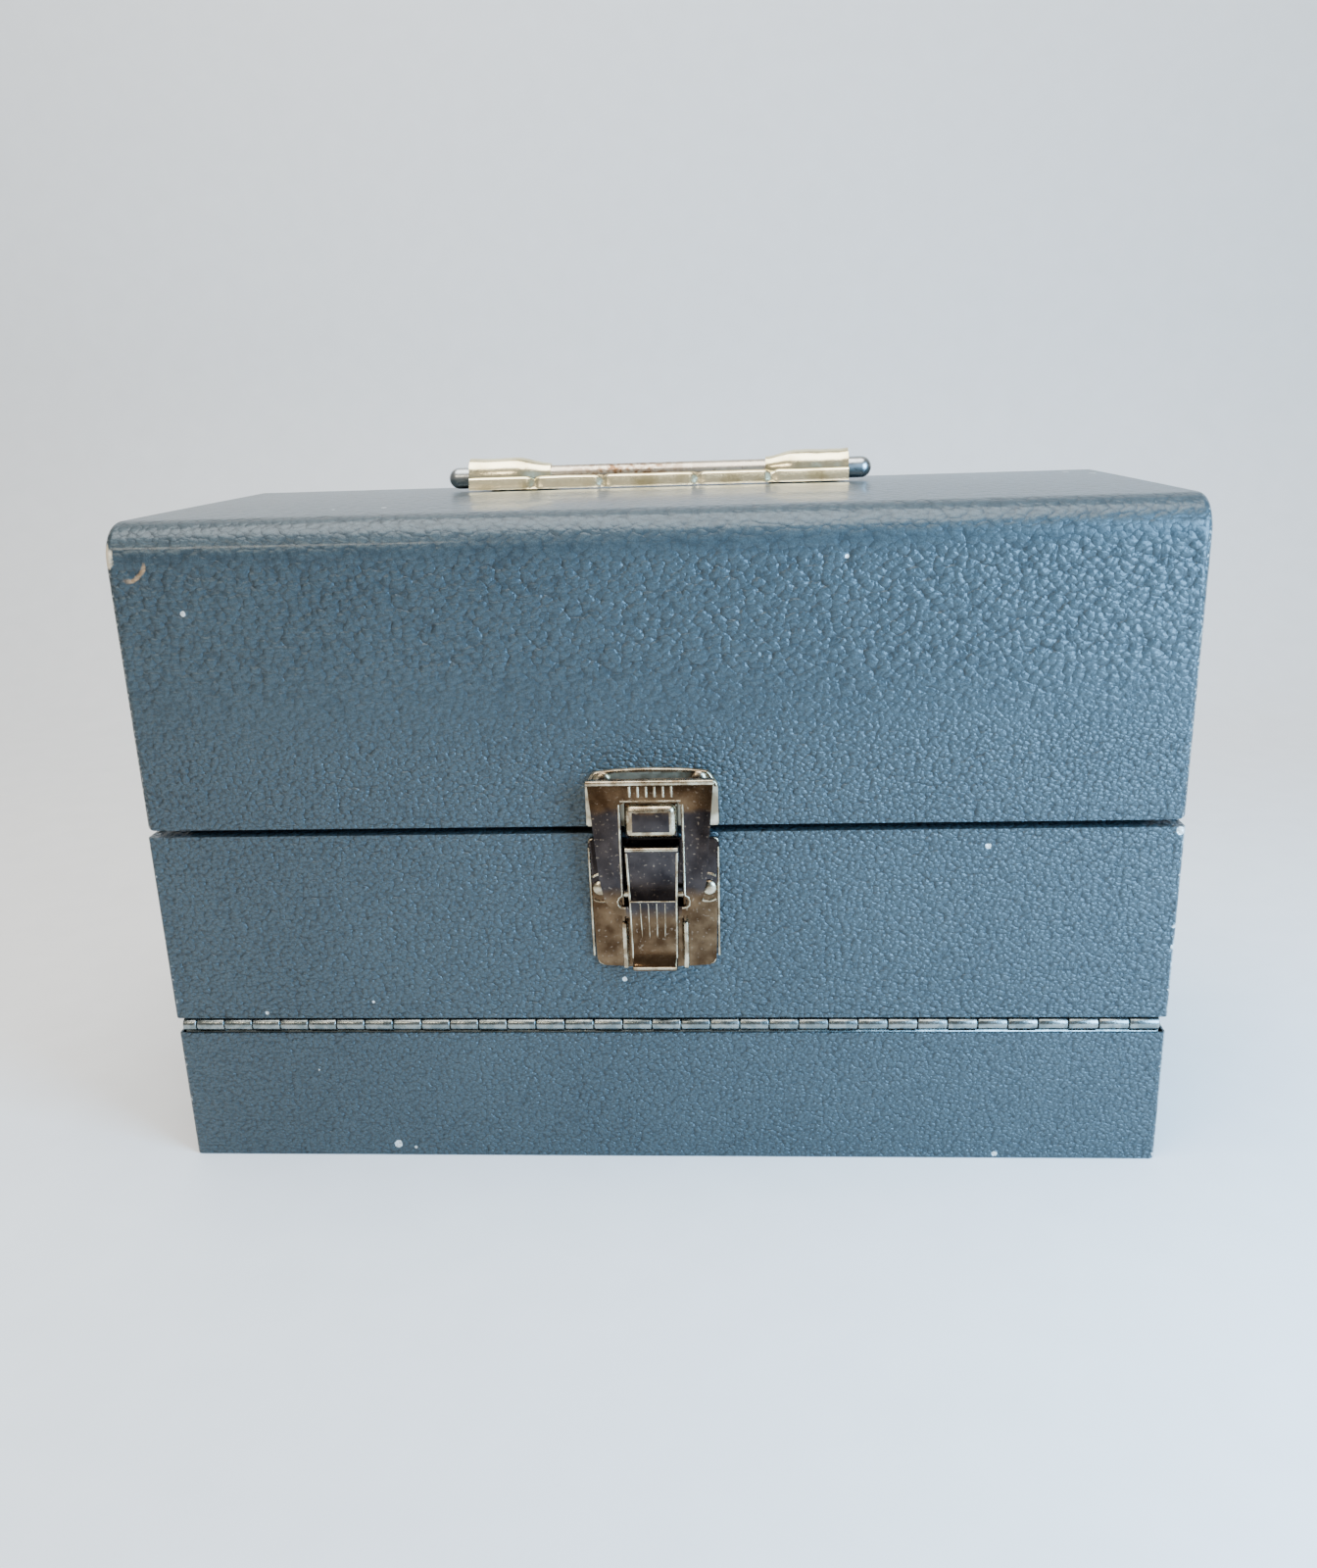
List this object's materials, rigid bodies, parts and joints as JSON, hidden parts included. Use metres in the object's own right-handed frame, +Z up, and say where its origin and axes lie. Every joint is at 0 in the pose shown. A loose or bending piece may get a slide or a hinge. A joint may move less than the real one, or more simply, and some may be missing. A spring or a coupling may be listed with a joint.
{
  "type": "sewing box with trays",
  "caption": "Blue-grey hammertone steel sewing box with a deep rear-hinged lid, drop front on a piano hinge, draw latch, folding handle and cantilever trays.",
  "frame": {"origin": "middle of the case's flat underside, on the surface it stands on", "axes": "+Z up, +X to the right seen from the front, the front with the latch faces -Y"},
  "size_m": [0.33, 0.1665, 0.2301],
  "materials": {
    "enamel": "blue-grey hammertone enamel, semi-gloss",
    "hinge_steel": "plated steel, dulled",
    "latch_nickel": "polished nickel plate, aged",
    "handle_plate": "thin sheet, satin plate gone slightly yellow",
    "rod_steel": "bright steel rod, worn in the middle",
    "zinc_steel": "zinc-plated links",
    "tray_enamel": "blue-grey hammertone enamel, semi-gloss"
  },
  "bodies": {
    "case": {"base_shell": "enamel", "front_hinge_base_leaf": "hinge_steel", "front_hinge_pin": "hinge_steel", "rear_hinge_base_leaf": "hinge_steel", "rear_hinge_pin": "hinge_steel", "left_jamb": "enamel", "left_arm_plate": "zinc_steel", "right_jamb": "enamel", "right_arm_plate": "zinc_steel"},
    "lid": {"lid_shell": "enamel", "rear_hinge_lid_leaf": "hinge_steel", "latch_strike_plate": "latch_nickel", "latch_keeper": "latch_nickel", "left_strike_rivet": "latch_nickel", "left_lid_pivot": "zinc_steel", "left_handle_bracket": "handle_plate", "left_handle_rivet": "handle_plate", "left_handle_pin": "rod_steel", "right_strike_rivet": "latch_nickel", "right_lid_pivot": "zinc_steel", "right_handle_bracket": "handle_plate", "right_handle_rivet": "handle_plate", "right_handle_pin": "rod_steel"},
    "drop_front": {"front_flap": "enamel", "front_hinge_flap_leaf": "hinge_steel", "latch_base_plate": "latch_nickel", "latch_lever_pin": "latch_nickel", "left_latch_rivet": "latch_nickel", "right_latch_rivet": "latch_nickel"},
    "lever": {"latch_lever": "latch_nickel", "latch_hasp_pin": "latch_nickel"},
    "hasp": {"latch_hasp": "latch_nickel"},
    "handle": {"handle_plate": "handle_plate", "handle_rod": "rod_steel"},
    "rear_base_arms": {"left_rear_base_arm": "zinc_steel", "right_rear_base_arm": "zinc_steel"},
    "front_base_arms": {"left_front_base_arm": "zinc_steel", "right_front_base_arm": "zinc_steel"},
    "lower_tray": {"lower_tray": "tray_enamel", "lower_tray_cross_wall_1": "tray_enamel", "lower_tray_cross_wall_2": "tray_enamel"},
    "rear_tray_arms": {"left_rear_tray_arm": "zinc_steel", "right_rear_tray_arm": "zinc_steel"},
    "front_tray_arms": {"left_front_tray_arm": "zinc_steel", "right_front_tray_arm": "zinc_steel"},
    "upper_tray": {"upper_tray": "tray_enamel", "upper_tray_cross_wall_1": "tray_enamel", "upper_tray_cross_wall_2": "tray_enamel", "upper_tray_cross_wall_3": "tray_enamel", "upper_tray_long_wall": "tray_enamel"}
  },
  "joints": [
    {"name": "lid_hinge", "type": "hinge", "parent": "case", "child": "lid", "pos_m": [0, 0.07795, 0.11925], "axis": [-1, 0, 0], "range_deg": [0, 100]},
    {"name": "drop_front_hinge", "type": "hinge", "parent": "case", "child": "drop_front", "pos_m": [0, -0.0741, 0.0499], "axis": [1, 0, 0], "range_deg": [0, 90]},
    {"name": "latch_lever_pivot", "type": "hinge", "parent": "drop_front", "child": "lever", "pos_m": [0, -0.0815, 0.1128], "axis": [-1, 0, 0], "range_deg": [0, 90]},
    {"name": "latch_hasp_pivot", "type": "hinge", "parent": "lever", "child": "hasp", "pos_m": [0, -0.0812, 0.0986], "axis": [1, 0, 0], "range_deg": [0, 115]},
    {"name": "handle_hinge", "type": "hinge", "parent": "lid", "child": "handle", "pos_m": [0, 0.036, 0.2222], "axis": [-1, 0, 0], "range_deg": [0, 90]},
    {"name": "rear_base_arms_pivot", "type": "hinge", "parent": "case", "child": "rear_base_arms", "pos_m": [0, 0.062, 0.104], "axis": [-1, 0, 0], "range_deg": [0, 100]},
    {"name": "front_base_arms_pivot", "type": "hinge", "parent": "case", "child": "front_base_arms", "pos_m": [0, -0.01, 0.104], "axis": [-1, 0, 0], "range_deg": [0, 100]},
    {"name": "lower_tray_pivot", "type": "hinge", "parent": "rear_base_arms", "child": "lower_tray", "pos_m": [0, 0.024, 0.112], "axis": [1, 0, 0], "range_deg": [0, 100]},
    {"name": "rear_tray_arms_pivot", "type": "hinge", "parent": "lower_tray", "child": "rear_tray_arms", "pos_m": [0, 0.06, 0.134], "axis": [-1, 0, 0], "range_deg": [0, 100]},
    {"name": "front_tray_arms_pivot", "type": "hinge", "parent": "lower_tray", "child": "front_tray_arms", "pos_m": [0, -0.012, 0.134], "axis": [-1, 0, 0], "range_deg": [0, 100]},
    {"name": "upper_tray_pivot", "type": "hinge", "parent": "rear_tray_arms", "child": "upper_tray", "pos_m": [0, 0.022, 0.152], "axis": [1, 0, 0], "range_deg": [0, 100]}
  ],
  "couplings": [
    {"joint": "rear_base_arms_pivot", "follows": "lid_hinge", "ratio": 1},
    {"joint": "front_base_arms_pivot", "follows": "lid_hinge", "ratio": 1},
    {"joint": "lower_tray_pivot", "follows": "lid_hinge", "ratio": 1},
    {"joint": "rear_tray_arms_pivot", "follows": "lid_hinge", "ratio": 1},
    {"joint": "front_tray_arms_pivot", "follows": "lid_hinge", "ratio": 1},
    {"joint": "upper_tray_pivot", "follows": "lid_hinge", "ratio": 1},
    {"joint": "latch_hasp_pivot", "follows": "latch_lever_pivot", "ratio": 1.25}
  ]
}
